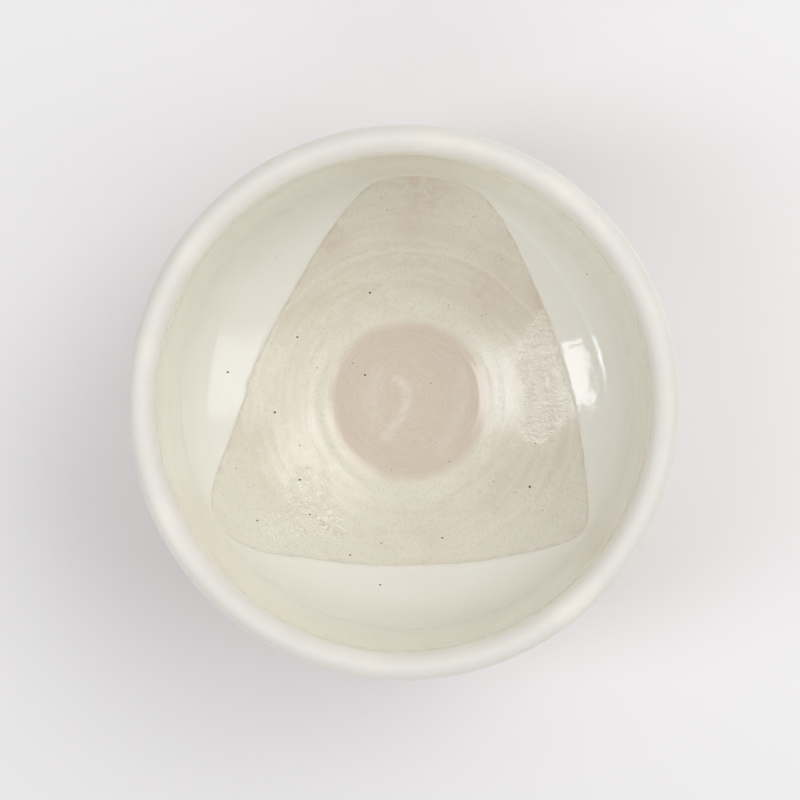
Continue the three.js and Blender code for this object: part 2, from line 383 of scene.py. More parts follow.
def satinLiner():
    material, tree, surface, place = finish("satinLiner", specular=linerGrain["specular"])
    ringPlace, across = turningPlace(tree, place, *linerGrain["broadTurn"])
    broadRings = noiseOf(tree, ringPlace, *linerGrain["broadRings"])
    ringPlace, _ = turningPlace(tree, place, *linerGrain["fineTurn"])
    fineRings = noiseOf(tree, ringPlace, *linerGrain["fineRings"])
    patches, mottle, grain, crystalsAndGlints = [
        noiseOf(tree, place, *linerGrain[name]) for name in ("patches", "mottle", "grain", "crystalsAndGlints")]
    grainy, bare = attributeOf(tree, "grainy"), attributeOf(tree, "bare")
    placeParts = partsOf(tree, place)
    behind, level = placeParts["Y"], placeParts["Z"]
    share, cover = layering(tree, linerShares, linerLook)
    colour = cover(linerLook["dark"], share(broadRings, "broadRings"), "beige")
    colour = cover(colour, share(fineRings, "paleRings"), "pale")
    colour = cover(colour, share(mottle, "paleMottle"), "pale")
    colour = cover(colour, share(patches, "pinkPatches"), "pink")
    # painted light: the liner turns paler higher up the wall, lightening what lies in shade there
    colour = cover(colour, share(level, "paintedLightUp"), "pale")
    colour = cover(colour, times(tree, attributeOf(tree, "blotch"), share(mottle, "blotch")), "toast")
    # painted light: the front of the liner is lightened where it lies in shade
    colour = cover(colour, share(behind, "paintedLightFront"), "pale")
    toasted = times(tree, share(bare, "nearLine"), share(mottle, "toast"), share(behind, "toastBehind"))
    colour = cover(colour, toasted, "toast")  # thin beside the white glaze
    colour = cover(colour, times(tree, share(bare, "edgeLine"), share(mottle, "edgeBreaks")), "edge")
    # the well's edge and the one deep throwing line aren't perfect rings
    ragged = calc(tree, "MULTIPLY_ADD", patches, linerGrain["raggedEdge"], across)
    deepLine = share(awayFrom(tree, ragged, linerGrain["deepLine"]), "deepLine")
    colour = cover(colour, times(tree, deepLine, share(behind, "deepBehind")), "pale")
    colour = cover(colour, times(tree, share(ragged, "haloStart"), share(ragged, "haloEnd")), "pale")
    wellColour = cover(linerLook["pink"], share(fineRings, "wellRings"), "beige")
    wellColour = cover(wellColour, share(patches, "wellPatches"), "toast")
    colour = blendColour(tree, share(ragged, "well"), colour, wellColour)
    colour = cover(colour, times(tree, attributeOf(tree, "fingerMark"), share(mottle, "stroke")), "pale")
    colour = cover(colour, share(grain, "pits"), "pit")
    # the pitted patches: painted glints, which are painted highlights, a groove in front and pinholes
    # painted highlight: pale glints laid into the colour where light would sparkle off the pits
    paintedGlints = times(tree, share(crystalsAndGlints, "paintedGlints"), share(grainy, "paintedGlintPatch"), share(behind, "paintedGlintFront"))
    colour = cover(colour, paintedGlints, "paintedGlint")
    groove = share(awayFrom(tree, across, linerGrain["groove"]), "groove")
    groove = times(tree, groove, share(grainy, "groovePatch"), share(behind, "grooveFront"))
    colour = cover(colour, times(tree, groove, share(crystalsAndGlints, "grooveBreaks")), "pit")
    nearest, chosen = cellsOf(tree, place, linerGrain["pinholes"])
    pricked = times(tree, share(nearest, "pinhole"), share(chosen, "pinholeChosen"))
    colour = cover(colour, times(tree, pricked, share(grainy, "pinholePatch")), "pinhole")
    tree.links.new(colour, surface.inputs["Base Color"])
    tree.links.new(share(grainy, "roughness"), surface.inputs["Roughness"])
    sparkle = times(tree, share(grainy, "sparkle"), share(mottle, "sparkleMottle"))
    pitted = times(tree, crystalsAndGlints, sparkle)
    bump(tree, surface, (fineRings, linerGrain["ringHeight"]), (pitted, linerGrain["pitHeight"]))
    return material


whiteLook = dict(lip=(0.69, 0.665, 0.608), wall=(0.855, 0.82, 0.714), outside=(0.86, 0.84, 0.78),
                 pool=(0.845, 0.835, 0.765), cloud=(0.82, 0.785, 0.70), overlap=(0.845, 0.88, 0.845))
whiteGrain = dict(clouds=(60, 3), ripples=(330, 3), rippleHeight=0.08 * mm, calmShare=0.15, specular=1.0,
                  roughness=0.1, lipRoughness=0.58)
whiteShares = dict(lip=(0.66, 0.98), clouds=(0.45, 0.75, 0, 0.5), overlap=(0.1 * mm, 0.5 * mm, 0.85, 0))


def glossyWhite():
    material, tree, surface, place = finish("glossyWhite", specular=whiteGrain["specular"])
    pool, lipShare = attributeOf(tree, "pool"), attributeOf(tree, "lipShare")
    share, cover = layering(tree, whiteShares, whiteLook)
    # painted light: the outside is a little lighter than the inside wall, lifting the outer lip slope that
    # lies in shade
    colour = cover(whiteLook["outside"], attributeOf(tree, "inside"), "wall")
    colour = cover(colour, share(lipShare, "lip"), "lip")  # the clay shows through the thin glaze, and painted shade darkens the well-lit crest
    colour = cover(colour, pool, "pool")  # cooler where it ran thick
    colour = cover(colour, share(noiseOf(tree, place, *whiteGrain["clouds"]), "clouds"), "cloud")
    # along the overlap ridge a pale bluish line: partly the tint of thicker glaze, partly a painted
    # highlight on the ridge
    nearOverlap = share(calc(tree, "ABSOLUTE", attributeOf(tree, "pastOverlap")), "overlap")
    colour = cover(colour, times(tree, nearOverlap, attributeOf(tree, "overlapShare")), "overlap")
    tree.links.new(colour, surface.inputs["Base Color"])
    thin = ramp(tree, lipShare, 0, 1, whiteGrain["roughness"], whiteGrain["lipRoughness"])
    tree.links.new(thin, surface.inputs["Roughness"])  # thin and duller over the lip
    calm = whiteGrain["calmShare"]
    rippling = calc(tree, "MULTIPLY_ADD", pool, 1 - calm, calm)
    ripple = times(tree, noiseOf(tree, place, *whiteGrain["ripples"]), rippling)
    bump(tree, surface, (ripple, whiteGrain["rippleHeight"]))
    return material


clayLook = dict(sand=(0.56, 0.455, 0.335), shade=(0.50, 0.395, 0.28), pale=(0.63, 0.53, 0.41),
                grog=(0.30, 0.215, 0.145), toast=(0.50, 0.30, 0.165))
clayGrain = dict(rings=(900, 2.5), ringMarks=(1.0, 3), patches=(90, 4, 0.6), sand=(1500, 3, 0.65),
                 grog=520.0, ringHeight=0.06 * mm, sandHeight=0.09 * mm, grogHeight=0.05 * mm,
                 roughness=0.88)
clayShares = dict(patches=(0.35, 0.65), paleRings=(0.5, 0.75, 0, 0.3), paleSand=(0.5, 0.68, 0, 0.4),
                  grog=(0.12, 0.26, 0.7, 0), grogChosen=(0.55, 0.8), flashing=(0, 3.5 * mm, 0.8, 0))


def bareClay():
    material, tree, surface, place = finish("bareClay", clayGrain["roughness"])
    ringPlace, _ = turningPlace(tree, place, *clayGrain["rings"])
    ringMarks = noiseOf(tree, ringPlace, *clayGrain["ringMarks"])
    patches = noiseOf(tree, place, *clayGrain["patches"])
    sand = noiseOf(tree, place, *clayGrain["sand"])
    share, cover = layering(tree, clayShares, clayLook)
    colour = cover(clayLook["shade"], share(patches, "patches"), "sand")
    colour = cover(colour, share(ringMarks, "paleRings"), "pale")
    colour = cover(colour, share(sand, "paleSand"), "pale")
    nearest, chosen = cellsOf(tree, place, clayGrain["grog"])  # grog: fired grains in the clay
    grog = times(tree, share(nearest, "grog"), share(chosen, "grogChosen"))
    colour = cover(colour, grog, "grog")
    colour = cover(colour, share(attributeOf(tree, "bare"), "flashing"), "toast")  # beside the glaze
    tree.links.new(colour, surface.inputs["Base Color"])
    bump(tree, surface, (ringMarks, clayGrain["ringHeight"]), (sand, clayGrain["sandHeight"]),
         (grog, clayGrain["grogHeight"]))
    return material


ironLook = dict(dark=(0.035, 0.025, 0.018), rust=(0.12, 0.075, 0.045), mottle=(900, 2), roughness=0.4)


def ironSpot():
    material, tree, surface, place = finish("ironSpot", ironLook["roughness"])
    mottle = noiseOf(tree, place, *ironLook["mottle"])
    colour = blendColour(tree, mottle, ironLook["dark"], ironLook["rust"])
    tree.links.new(colour, surface.inputs["Base Color"])
    return material


# what both geometry trees share
def shaping(tree, kind, inputs=None):
    return put(tree, "GeometryNode" + kind, inputs).outputs[0]


def treeInputs(tree, kinds):
    sockets = {}
    for name, kind in kinds.items():
        made = tree.interface.new_socket(name, in_out="INPUT", socket_type="NodeSocket" + kind)
        sockets[name] = made.identifier
    tree.interface.new_socket("Geometry", in_out="OUTPUT", socket_type="NodeSocketGeometry")
    return sockets, put(tree, "NodeGroupInput").outputs


def namedValue(tree, name, kind):
    return put(tree, "GeometryNodeInputNamedAttribute", {"Name": name}, data_type=kind).outputs["Attribute"]


def geometryOf(tree, source):
    return put(tree, "GeometryNodeObjectInfo", {"Object": source}).outputs["Geometry"]


def endTree(tree, geometry, finishInput):
    real = shaping(tree, "RealizeInstances", {"Geometry": geometry})
    shaded = shaping(tree, "SetShadeSmooth", {"Geometry": real, "Shade Smooth": True})
    painted = shaping(tree, "SetMaterial", {"Geometry": shaded, "Material": finishInput})
    put(tree, "NodeGroupOutput", {"Geometry": painted})


def runTree(name, tree, sockets, values):  # the tree's result as a plain piece
    holder = meshPiece(name + "Holder", [], [])
    modifier = holder.modifiers.new(name, "NODES")
    modifier.node_group = tree
    for socket, value in values.items():
        modifier[sockets[socket]] = value
    graph = bpy.context.evaluated_depsgraph_get()
    mesh = bpy.data.meshes.new_from_object(holder.evaluated_get(graph))
    mesh.name = name
    holder.modifiers.clear()
    bpy.data.objects.remove(holder)
    return addObject(name, mesh)


# a thrown piece: its outline is turned round the axis and carries throwing rings
wheel = dict(evenShare=0.35, unevenShare=2.4, unevenRound=0.6, unevenDetail=3, weld=0.002 * mm)


def thrownTree():
    tree = bpy.data.node_groups.new("thrownPiece", "GeometryNodeTree")
    sockets, given = treeInputs(tree, {
        "Outline": "Object", "Steps Round": "Int", "Ring Height": "Float", "Rings Per Metre": "Float",
        "Seed": "Float", "Finish": "Material"})
    outline = geometryOf(tree, given["Outline"])
    rows = put(tree, "GeometryNodeAttributeDomainSize", {0: outline}).outputs["Point Count"]
    columns = calc(tree, "ADD", given["Steps Round"], 1)
    grid = {"Size X": 1.0, "Size Y": 1.0, "Vertices X": columns, "Vertices Y": rows}
    sheet = put(tree, "GeometryNodeMeshGrid", grid).outputs["Mesh"]
    position = shaping(tree, "InputPosition")
    spot = partsOf(tree, position)
    angle = times(tree, calc(tree, "ADD", spot["X"], 0.5), turn)
    up = times(tree, calc(tree, "ADD", spot["Y"], 0.5), calc(tree, "SUBTRACT", rows, 1))
    row = calc(tree, "ROUND", up)

    def outlineValue(kind, source):
        inputs = {"Geometry": outline, "Value": source, "Index": row}
        return put(tree, "GeometryNodeSampleIndex", inputs, data_type=kind, domain="POINT").outputs["Value"]

    point = outlineValue("FLOAT_VECTOR", position)
    away = outlineValue("FLOAT_VECTOR", namedValue(tree, "away", "FLOAT_VECTOR"))
    along = outlineValue("FLOAT", namedValue(tree, "along", "FLOAT"))
    share = outlineValue("FLOAT", namedValue(tree, "ringShare", "FLOAT"))
    cosine, sine = calc(tree, "COSINE", angle), calc(tree, "SINE", angle)
    # the rings climb one step for each turn of the wheel, and wander a little round it
    climbed = times(tree, along, given["Rings Per Metre"])
    even = calc(tree, "SINE", calc(tree, "SUBTRACT", times(tree, climbed, turn), angle))
    around = combined(
        tree, times(tree, cosine, wheel["unevenRound"]), times(tree, sine, wheel["unevenRound"]),
        calc(tree, "ADD", climbed, given["Seed"]))
    uneven = calc(tree, "SUBTRACT", noiseOf(tree, around, 1.0, wheel["unevenDetail"]), 0.5)
    ridge = calc(tree, "ADD", times(tree, even, wheel["evenShare"]),
                 times(tree, uneven, wheel["unevenShare"]))
    moved = vector(tree, "SCALE", away)
    tree.links.new(times(tree, ridge, share, given["Ring Height"]), moved.node.inputs["Scale"])
    flat = partsOf(tree, vector(tree, "ADD", point, moved))
    turned = combined(tree, times(tree, flat["X"], cosine), times(tree, flat["X"], sine), flat["Z"])
    shaped = shaping(tree, "SetPosition", {"Geometry": sheet, "Position": turned})
    closed = shaping(tree, "MergeByDistance", {"Geometry": shaped, "Distance": wheel["weld"]})
    outward = shaping(tree, "FlipFaces", {"Mesh": closed})
    endTree(tree, outward, given["Finish"])
    return tree, sockets


throwing, throwingSockets = thrownTree()


def outlinePiece(name, along, off, ringShare, extra=None):
    distance, level = onSkin(along, off)
    points = np.column_stack((distance, np.zeros_like(distance), level))
    away = awayAt(along)
    away = np.column_stack((away[:, 0], np.zeros(len(away)), away[:, 1]))
    if extra is not None:  # stretches off the skin, such as the foot
        points = np.concatenate((points, extra["points"]))
        away = np.concatenate((away, extra["away"]))
        along = np.concatenate((along, along[-1] + extra["along"]))
        ringShare = np.concatenate((ringShare, extra["ringShare"]))
    piece = meshPiece(name, points, [])
    pointValues(piece, away=away, along=along, ringShare=ringShare)
    return piece


def throwPiece(name, outline, sizes, material):
    values = {"Outline": outline, "Steps Round": sizes["stepsRound"], "Ring Height": sizes["ringHeight"],
              "Rings Per Metre": sizes["ringsPerMetre"], "Seed": sizes["seed"], "Finish": material}
    piece = runTree(name, throwing, throwingSockets, values)
    bpy.data.objects.remove(outline)
    return piece


liner = dict(stepsRound=300, ringHeight=0.045 * mm, ringsPerMetre=300.0, seed=3.0,
             fineStep=0.34 * mm, coarseStep=2.4 * mm, hiddenRows=18, shownPastHeel=6 * mm, calmMiddle=4 * mm,
             strokeHeight=0.06 * mm, bareRange=(-5 * mm, 20 * mm))
fingerStrokes = [  # handles in mm from the middle of the floor: the hook, then the arcs left and right of it
    dict(handles=((-2.6, 5.2), (1.4, 2.4), (1.0, -1.6), (-5.0, -8.0)), width=1.1 * mm, share=1.0),
    dict(handles=((-6.4, 6.4), (-8.4, 3.4), (-8.4, -1.0), (-7.4, -4.0)), width=1.9 * mm, share=0.5),
    dict(handles=((7.3, -11.0), (11.0, -6.5), (12.6, -1.0), (12.6, 6.0)), width=1.6 * mm, share=0.5)]
blotches = [  # pinkish burnt patches: x, y and size in mm
    (37.5, -29.0, 2.2), (6.4, -30.9, 3.5), (-16.4, 35.0, 3.5), (29.0, 21.1, 4.0), (18.0, 24.1, 5.5),
    (2.9, 45.0, 7.0)]
grainyPatches = [  # where the satin surface is pitted and sparkles, and where glints are painted: x, y and size in mm
    (31.0, 8.0, 6.0), (32.5, 15.0, 5.0), (31.0, 0.0, 5.0), (29.0, -5.0, 3.5),
    (-21.6, -19.4, 4.8), (-27.4, -28.6, 5.2), (-17.4, -27.6, 4.2)]


def fingerMark(points):  # the strokes that the potter's finger left in the well
    mark = np.zeros(len(points))
    low = np.nonzero(points[:, 2] < floorLevel)[0]
    for stroke in fingerStrokes:
        path = bezier(np.array(stroke["handles"]) * mm, fineness["stroke"])
        nearest = np.full(len(low), np.inf)
        for start, end in zip(path[:-1], path[1:]):
            way = end - start
            share = np.clip((points[low, :2] - start) @ way / (way @ way), 0, 1)
            nearest = np.minimum(nearest, np.hypot(*(points[low, :2] - start - share[:, None] * way).T))
        mark[low] = np.maximum(mark[low], stroke["share"] * np.exp(-(nearest / stroke["width"]) ** 2))
    return mark


def spotShare(points, spots):  # 1 in the middle of each spot, fading to 0 round it
    shares = []
    for x, y, size in np.array(spots) * mm:
        distance = np.hypot(points[:, 0] - x, points[:, 1] - y)
        shares.append(np.exp(-(distance / size) ** 2))
    return np.max(shares, axis=0)


def makeLiner():
    shown = marks["heel"] + liner["shownPastHeel"]
    fine = np.arange(0, shown, liner["fineStep"])
    over = np.concatenate((fine, np.linspace(shown, crest, liner["hiddenRows"])))
    under = np.arange(0, crest, liner["coarseStep"])
    along = np.concatenate((over, [crest], under[::-1]))
    off = np.concatenate((np.full(len(over), linerTop), np.full(len(under) + 1, coats["gap"])))
    ringShare = smooth(0, liner["calmMiddle"], along) * smooth(crest, shown, along) * (off == linerTop)
    outline = outlinePiece("linerOutline", along, off, ringShare)
    piece = throwPiece("satin_liner", outline, liner, satinLiner())
    points = pointsOf(piece)
    mark = fingerMark(points)
    onTop = points[:, 2] > floorLevel - clay["wellDepth"] + linerTop / 2
    points[:, 2] += liner["strokeHeight"] * mark * onTop
    piece.data.vertices.foreach_set("co", oval(points).ravel())
    pointValues(piece, bare=np.clip(bareDepth(*points.T), *liner["bareRange"]), fingerMark=mark,
                blotch=spotShare(points, blotches), grainy=spotShare(points, grainyPatches))
    piece.data.update()
    return piece


body = dict(stepsRound=288, ringHeight=0.05 * mm, ringsPerMetre=560.0, seed=11.0,
            fineStep=0.4 * mm, coarseStep=2.5 * mm, wallRows=20, calmFoot=1.5 * mm, calmMiddle=3 * mm,
            bareRange=(0, 20 * mm))


def footOutline():  # down the foot ring, across its flat, up into the hollow and in to the axis
    outer, inner = clay["footRadius"], clay["footRadius"] - clay["footWidth"]
    bevel, recess = clay["footBevel"], clay["footRecess"]
    corners = [(outer, clay["footHeight"]), (outer, bevel), (outer - bevel, 0), (inner + bevel, 0),
               (inner, bevel), (inner - bevel, recess - bevel), (inner - 2 * bevel, recess), (0, recess)]
    points, away = [], []
    for start, end in zip(corners[:-1], corners[1:]):
        start, end = np.array(start), np.array(end)
        length = np.hypot(*(end - start))
        steps = max(2, int(length / body["fineStep"]))
        way = (end - start) / length
        for share in np.arange(1, steps + 1) / steps:
            points.append(start + (end - start) * share)
            away.append((-way[1], way[0]))
    points, away = np.array(points), np.array(away)
    away[-1] = (0, -1)
    along = np.cumsum(np.hypot(*np.diff(np.concatenate(([corners[0]], points)), axis=0).T))
    ringShare = smooth(0, body["calmFoot"], points[:, 1]) * smooth(0, body["calmMiddle"], points[:, 0])
    nothing = np.zeros(len(points))
    return dict(points=np.column_stack((points[:, 0], nothing, points[:, 1])),
                away=np.column_stack((away[:, 0], nothing, away[:, 1])), along=along, ringShare=ringShare)


def makeBody():
    lipEnd, wallFoot, footTop = marks["lip"], marks["outsideWall"], marks["underside"]
    hidden = np.arange(0, lipEnd, body["coarseStep"])
    wall = np.linspace(lipEnd, wallFoot, body["wallRows"])
    shown = np.arange(wallFoot, footTop, body["fineStep"])[1:]
    along = np.concatenate((hidden, wall, shown, [footTop]))
    outline = outlinePiece("bodyOutline", along, 0.0, smooth(lipEnd, wallFoot, along), footOutline())
    piece = throwPiece("bare_clay_body", outline, body, bareClay())
    points = pointsOf(piece)
    piece.data.vertices.foreach_set("co", oval(points).ravel())
    pointValues(piece, bare=np.clip(bareDepth(*points.T), *body["bareRange"]))
    piece.data.update()
    return piece


white = dict(
    stepsRound=432, insideRows=84, lipRows=22, outsideRows=46, underRows=20,
    edgeSteps=(0, 0.03, 0.08, 0.15, 0.25, 0.38, 0.55, 0.78, 1.1, 1.5, 2.0),  # mm in from the glaze line
    roundOver=1.0 * mm, bead=0.07 * mm, beadAt=1.6 * mm, calmEdge=3 * mm,
    sink=0.16 * mm, underSink=0.2 * mm,  # how far its edge and its underside lie in what carries them
    wave=0.05 * mm, waveScale=90, waveDepth=0.6,  # the depths keep it inside the solids
    ringHeight=0.06 * mm, ringPitch=5.2 * mm, ringSwing=0.5, ringDepth=0.8, finerPitch=0.61, finerShare=0.6,
    ringsFrom=9 * mm, ringsTo=5 * mm, poolFrom=14 * mm, lipSpread=5 * mm, openFrom=2 * mm)
overlap = dict(  # where two dips overlap: the plane of its edge, the ridge there and the step past it
    heading=radians(21.5), lean=radians(75.5), reach=126.5 * mm, width=0.42 * mm, height=0.07 * mm,
    step=0.06 * mm, stepFade=8 * mm, start=radians(-8), end=radians(76), fade=0.3)
whiteValues = ("pool", "inside", "pastOverlap", "overlapShare", "lipShare", "open")


def glazeLineAlong(angle, low, high, off):  # where the white glaze stops, as a length along the skin
    along = np.linspace(low, high, fineness["glazeLine"])
    distance, level = onSkin(along, off)
    depth = bareDepth(distance * cos(angle), distance * sin(angle), level)
    bareSteps = np.nonzero(depth > 0)[0]
    before = bareSteps[-1] if off == linerTop else bareSteps[0] - 1  # inside it is bare near the middle
    share = depth[before] / (depth[before] - depth[before + 1])
    return along[before] + (along[before + 1] - along[before]) * share


def pastOverlap(angle, distance, level):  # how far past the overlap's edge
    ahead = distance * cos(angle - overlap["heading"])
    return (ahead + level * tan(overlap["lean"]) - overlap["reach"]) * cos(overlap["lean"])


def overlapShare(angle):  # 1 along the overlap, fading out at its ends
    signed = angle if angle < pi else angle - turn
    fade = overlap["fade"]
    return smooth(0, fade, signed - overlap["start"]) * smooth(0, fade, overlap["end"] - signed)


def whiteColumn(angle):  # one strip of the coat: over the lip from edge to edge, then back underneath
    edgeSteps = np.array(white["edgeSteps"]) * mm
    lipStart, lipEnd = marks["insideWall"], marks["lip"]
    inner = glazeLineAlong(angle, marks["shoulder"], lipStart, linerTop)
    outer = glazeLineAlong(angle, lipEnd, marks["underside"], 0.0)
    insideWay = np.linspace(inner + edgeSteps[-1], lipStart, white["insideRows"])[1:]
    lipWay = np.linspace(lipStart, lipEnd, white["lipRows"])[1:]
    outsideWay = np.linspace(lipEnd, outer - edgeSteps[-1], white["outsideRows"])[1:]
    top = np.concatenate((inner + edgeSteps, insideWay, lipWay, outsideWay, (outer - edgeSteps)[::-1][1:]))
    under = np.linspace(outer, inner, white["underRows"])[1:-1]
    fromLine = np.minimum(top - inner, outer - top)
    distance, level = onSkin(top)

    def outsideShare(along):
        return np.clip((along - crest) / (lipEnd - crest), 0, 1)

    seat = linerTop * (1 - outsideShare(top)) - white["sink"]
    thick = insideCoat + (outsideCoat - insideCoat) * outsideShare(top) - seat
    rounded = np.sqrt(1 - (1 - np.clip(fromLine / white["roundOver"], 0, 1)) ** 2)
    bead = white["bead"] * np.exp(-((fromLine - white["beadAt"]) / white["roundOver"]) ** 2)
    ringShare = smooth(lipEnd, lipEnd + white["ringsFrom"], top) * smooth(0, white["ringsTo"], fromLine)
    finer = np.sin(turn * top / (white["finerPitch"] * white["ringPitch"]) - angle)
    rings = np.sin(turn * top / white["ringPitch"] - angle) + white["finerShare"] * finer
    waves = np.array([noise.noise(Vector((d * cos(angle), d * sin(angle), z)) * white["waveScale"])
                      for d, z in zip(distance, level)])
    past = pastOverlap(angle, distance, level)
    there = overlapShare(angle) * (top < crest)
    ridge = there * np.exp(-(past / overlap["width"]) ** 2)
    second = there * smooth(-overlap["width"], overlap["width"], past)
    second = second * smooth(crest, lipStart - overlap["stepFade"], top)
    uneven = white["wave"] * (waves - white["waveDepth"])
    uneven = uneven + white["ringHeight"] * ringShare * (white["ringSwing"] * rings - white["ringDepth"])
    uneven = uneven + overlap["height"] * ridge - overlap["step"] * second
    topOff = seat + thick * rounded + bead + smooth(0, white["calmEdge"], fromLine) * uneven
    underOff = linerTop * (1 - outsideShare(under)) - white["underSink"]
    distance, level = onSkin(np.concatenate((top, under)), np.concatenate((topOff, underOff)))
    pool = smooth(lipStart - white["poolFrom"], marks["heel"], top) * (1 - outsideShare(top))
    inside = smooth(crest, lipStart, top)
    lipShare = np.exp(-((top - crest) / white["lipSpread"]) ** 2)
    shown = np.column_stack((pool, inside, past, there, lipShare, fromLine > white["openFrom"]))
    values = np.concatenate((shown, np.zeros((len(under), len(whiteValues)))))
    return np.column_stack((distance * cos(angle), distance * sin(angle), level, values))


def makeWhite():
    count = white["stepsRound"]
    columns = [whiteColumn(angle) for angle in np.arange(count) * turn / count]
    rows = len(columns[0])
    sheet = np.concatenate(columns)
    faces = []
    for column in range(count):
        here, there = column * rows, (column + 1) % count * rows
        for row in range(rows):
            after = (row + 1) % rows
            faces.append((here + row, here + after, there + after, there + row))
    piece = meshPiece("white_glaze_coat", oval(sheet[:, :3]), faces)
    for polygon in piece.data.polygons:
        polygon.use_smooth = True
    pointValues(piece, **dict(zip(whiteValues, sheet[:, 3:].T)))
    piece.data.materials.append(glossyWhite())
    return piece


# iron specks that came up through the glaze
specks = dict(smallest=0.06 * mm, largest=0.18 * mm, breadth=0.8, thickness=0.18, subdivisions=2,
              fromLine=0.8 * mm, aboveTable=1 * mm, underSkin=2 * mm, facingUp=0.2)
linerSpots = dict(perSquareMetre=4000.0, seed=5, chosen=[  # the large specks: x, y and half width in mm
    (-8.4, 24.1, 0.3), (-24.8, 14.1, 0.26), (-29.7, -2.6, 0.3), (-9.6, 5.8, 0.28), (-23.9, -17.8, 0.28),
    (27.3, -18.8, 0.32), (-33.3, -26.0, 0.24), (-21.6, -25.3, 0.24), (-12.7, -34.1, 0.24),
    (7.5, -30.5, 0.26)])
whiteSpots = dict(perSquareMetre=250.0, seed=8, chosen=[
    (-39.5, 6.5, 0.28), (-5.9, -40.7, 0.25), (39.4, 27.4, 0.22)])
claySpots = dict(perSquareMetre=9000.0, seed=2, chosen=[])


def speckTree():
    tree = bpy.data.node_groups.new("ironSpecks", "GeometryNodeTree")
    sockets, given = treeInputs(tree, {
        "Surface": "Object", "Chosen": "Object", "Specks Per Square Metre": "Float", "Smallest": "Float",
        "Largest": "Float", "Seed": "Int", "Finish": "Material"})
    density = times(tree, namedValue(tree, "specks", "FLOAT"), given["Specks Per Square Metre"])
    spreading = {"Mesh": geometryOf(tree, given["Surface"]), "Density": density, "Seed": given["Seed"]}
    spread = put(tree, "GeometryNodeDistributePointsOnFaces", spreading).outputs
    ball = {"Radius": 1.0, "Subdivisions": specks["subdivisions"]}
    grain = put(tree, "GeometryNodeMeshIcoSphere", ball).outputs["Mesh"]
    size = put(tree, "FunctionNodeRandomValue", {"Seed": given["Seed"]}, data_type="FLOAT")
    tree.links.new(given["Smallest"], size.inputs[2])
    tree.links.new(given["Largest"], size.inputs[3])

    def grainsAt(points, rotation, across):
        scale = combined(tree, across, times(tree, across, specks["breadth"]),
                         times(tree, across, specks["thickness"]))
        placing = {"Points": points, "Instance": grain, "Rotation": rotation, "Scale": scale}
        return shaping(tree, "InstanceOnPoints", placing)

    chosen = shaping(tree, "MeshToPoints", {"Mesh": geometryOf(tree, given["Chosen"])})
    way = {"Vector": namedValue(tree, "facing", "FLOAT_VECTOR")}
    facing = put(tree, "FunctionNodeAlignRotationToVector", way, axis="Z").outputs[0]
    both = put(tree, "GeometryNodeJoinGeometry")
    tree.links.new(grainsAt(spread["Points"], spread["Rotation"], size.outputs[1]), both.inputs[0])
    tree.links.new(grainsAt(chosen, facing, namedValue(tree, "width", "FLOAT")), both.inputs[0])
    endTree(tree, both.outputs[0], given["Finish"])
    return tree, sockets


def chosenSpots(surface, spots):  # each speck sits on the nearest point of the surface that faces up
    points = pointsOf(surface)
    facing = np.array([vertex.normal[:] for vertex in surface.data.vertices])
    upward = np.nonzero(facing[:, 2] > specks["facingUp"])[0]
    near = []
    for x, y, _ in spots:
        distance = np.hypot(points[upward, 0] - x * mm, points[upward, 1] - y * mm)
        near.append(upward[np.argmin(distance)])
    piece = meshPiece("chosenSpots", points[near], [])
    pointValues(piece, facing=facing[near], width=np.array([width for _, _, width in spots]) * mm)
    return piece


def makeSpecks(name, surface, where, spots):
    pointValues(surface, specks=where)
    chosen = chosenSpots(surface, spots["chosen"])
    values = {"Surface": surface, "Chosen": chosen, "Specks Per Square Metre": spots["perSquareMetre"],
              "Smallest": specks["smallest"], "Largest": specks["largest"], "Seed": spots["seed"],
              "Finish": ironSpot()}
    piece = runTree(name, speckScatter, speckSockets, values)
    bpy.data.objects.remove(chosen)
    return piece


def inBare(points):  # 1 past the glaze line, 0 under the white glaze
    return (bareDepth(*points.T) > specks["fromLine"]) * 1.0


def outsideClay(points):  # 1 on the outside and in the foot's hollow, 0 inside the cup and on the table
    skinOut, skinLevel = skinPoints[:crestIndex].T
    insideLevel = np.interp(np.hypot(points[:, 0], points[:, 1]), skinOut, skinLevel)
    return (points[:, 2] < insideLevel - specks["underSkin"]) * (points[:, 2] > specks["aboveTable"])


linerPiece = makeLiner()
print("liner thrown:", len(linerPiece.data.polygons), "faces")
bodyPiece = makeBody()
print("body thrown:", len(bodyPiece.data.polygons), "faces")
whitePiece = makeWhite()
print("white glaze dipped:", len(whitePiece.data.polygons), "faces")

speckScatter, speckSockets = speckTree()
linerSpecks = makeSpecks("liner_iron_specks", linerPiece, inBare(pointsOf(linerPiece)), linerSpots)
openWhite = np.zeros(len(whitePiece.data.vertices))
whitePiece.data.attributes["open"].data.foreach_get("value", openWhite)
whiteSpecks = makeSpecks("white_iron_specks", whitePiece, openWhite, whiteSpots)
clayPoints = pointsOf(bodyPiece)
shownClay = inBare(clayPoints) * outsideClay(clayPoints)
claySpecks = makeSpecks("clay_iron_specks", bodyPiece, shownClay, claySpots)
print("specks:", [len(piece.data.polygons) for piece in (linerSpecks, whiteSpecks, claySpecks)])

for piece, node, slot in ((linerPiece, "liner_glaze", "liner_glaze"), (bodyPiece, "clay_body", "clay"),
                          (whitePiece, "white_glaze", "white_glaze")):
    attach(piece, "root")
    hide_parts(node)
for piece, slot in ((linerSpecks, "liner_glaze"), (whiteSpecks, "white_glaze"), (claySpecks, "clay")):
    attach(piece, "root")

# table, light and camera
sky = dict(light=0.03, seen=0.80, colour=(1, 0.99, 0.98, 1))
table = dict(halfSide=6.0, level=-0.02 * mm, colour=(0.805, 0.793, 0.783), shade=0.985, clouds=(3, 2),
             roughness=0.75, fade=(0.45, 1.6))


